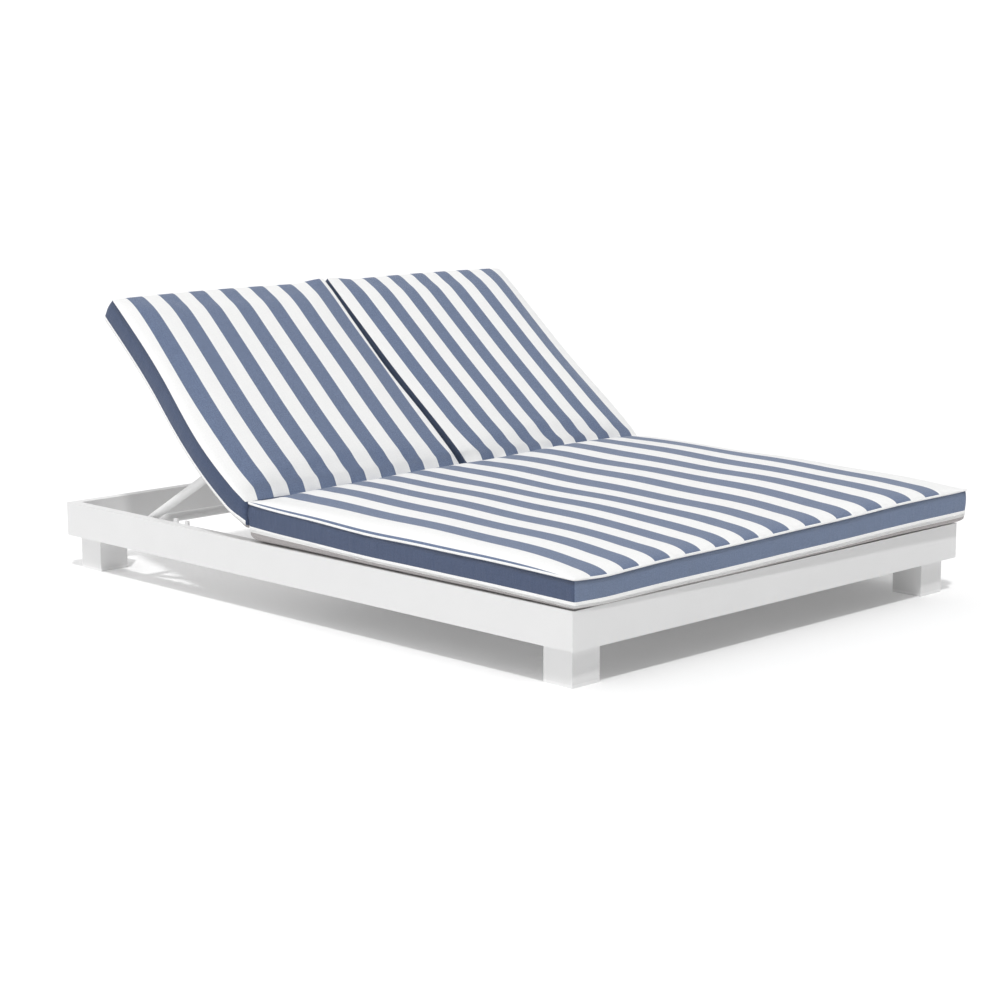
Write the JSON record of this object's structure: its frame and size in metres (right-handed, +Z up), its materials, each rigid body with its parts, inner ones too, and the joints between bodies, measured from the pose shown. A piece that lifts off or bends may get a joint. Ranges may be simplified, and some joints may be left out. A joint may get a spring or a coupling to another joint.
{
  "type": "double chaise lounger",
  "caption": "Low wide sun lounger on square legs, with a fixed padded seat and side-by-side padded backs that recline by themselves on hinged props and toothed racks.",
  "frame": {"origin": "centre of the footprint, on the floor", "axes": "+X from head to foot, +Y from left to right seen from the foot, +Z up"},
  "size_m": [2, 1.5, 0.7832],
  "materials": {
    "white_powder_coat": "satin white powder coat",
    "foot_plastic": "moulded matte white",
    "fastener_steel": "plain stainless",
    "pad_rubber": "matte black",
    "cushion_fabric": "blue and white striped woven cover"
  },
  "bodies": {
    "base": {"centre_beam_foot": "white_powder_coat", "centre_beam_head": "white_powder_coat", "corner_plates": "white_powder_coat", "foot_cap_foot_left": "foot_plastic", "foot_cap_foot_right": "foot_plastic", "foot_cap_head_left": "foot_plastic", "foot_cap_head_right": "foot_plastic", "foot_rail": "white_powder_coat", "head_rail": "white_powder_coat", "hinge_beam": "white_powder_coat", "hinge_ears": "white_powder_coat", "hinge_pins": "fastener_steel", "leg_bolts": "fastener_steel", "leg_foot_left": "white_powder_coat", "leg_foot_right": "white_powder_coat", "leg_head_left": "white_powder_coat", "leg_head_right": "white_powder_coat", "rack_left_inner": "white_powder_coat", "rack_left_outer": "white_powder_coat", "rack_right_inner": "white_powder_coat", "rack_right_outer": "white_powder_coat", "rack_screws": "fastener_steel", "rest_brackets_left": "white_powder_coat", "rest_brackets_right": "white_powder_coat", "rest_pads": "pad_rubber", "seat_cushion": "cushion_fabric", "seat_slat_1": "white_powder_coat", "seat_slat_2": "white_powder_coat", "seat_slat_3": "white_powder_coat", "seat_slat_4": "white_powder_coat", "seat_slat_5": "white_powder_coat", "seat_slat_6": "white_powder_coat", "seat_slat_7": "white_powder_coat", "seat_slat_8": "white_powder_coat", "seat_slat_9": "white_powder_coat", "side_rail_left": "white_powder_coat", "side_rail_right": "white_powder_coat", "slat_ledge_left": "white_powder_coat", "slat_ledge_right": "white_powder_coat"},
    "back_left": {"back_bottom_tube_left": "white_powder_coat", "back_cushion_left": "cushion_fabric", "back_side_tube_left_inner": "white_powder_coat", "back_side_tube_left_outer": "white_powder_coat", "back_slats_left": "white_powder_coat", "back_top_tube_left": "white_powder_coat", "prop_pins_left": "fastener_steel"},
    "back_right": {"back_bottom_tube_right": "white_powder_coat", "back_cushion_right": "cushion_fabric", "back_side_tube_right_inner": "white_powder_coat", "back_side_tube_right_outer": "white_powder_coat", "back_slats_right": "white_powder_coat", "back_top_tube_right": "white_powder_coat", "prop_pins_right": "fastener_steel"},
    "prop_left": {"prop_arm_left_inner": "white_powder_coat", "prop_arm_left_outer": "white_powder_coat", "prop_bar_left": "white_powder_coat"},
    "prop_right": {"prop_arm_right_inner": "white_powder_coat", "prop_arm_right_outer": "white_powder_coat", "prop_bar_right": "white_powder_coat"}
  },
  "joints": [
    {"name": "back_left_recline", "type": "hinge", "parent": "base", "child": "back_left", "pos_m": [-0.16, -0.37, 0.1765], "axis": [0, 1, 0], "range_deg": [-40, 30.4]},
    {"name": "prop_left_swing", "type": "hinge", "parent": "back_left", "child": "prop_left", "pos_m": [-0.36453, -0.37, 0.34812], "axis": [0, 1, 0], "range_deg": [-48, 63]},
    {"name": "back_right_recline", "type": "hinge", "parent": "base", "child": "back_right", "pos_m": [-0.16, 0.37, 0.1765], "axis": [0, 1, 0], "range_deg": [-40, 30.4]},
    {"name": "prop_right_swing", "type": "hinge", "parent": "back_right", "child": "prop_right", "pos_m": [-0.36453, 0.37, 0.34812], "axis": [0, 1, 0], "range_deg": [-48, 63]}
  ],
  "couplings": [
    {"joint": "prop_left_swing", "follows": "back_left_recline", "ratio": -1.5314},
    {"joint": "prop_right_swing", "follows": "back_right_recline", "ratio": -1.5314}
  ]
}
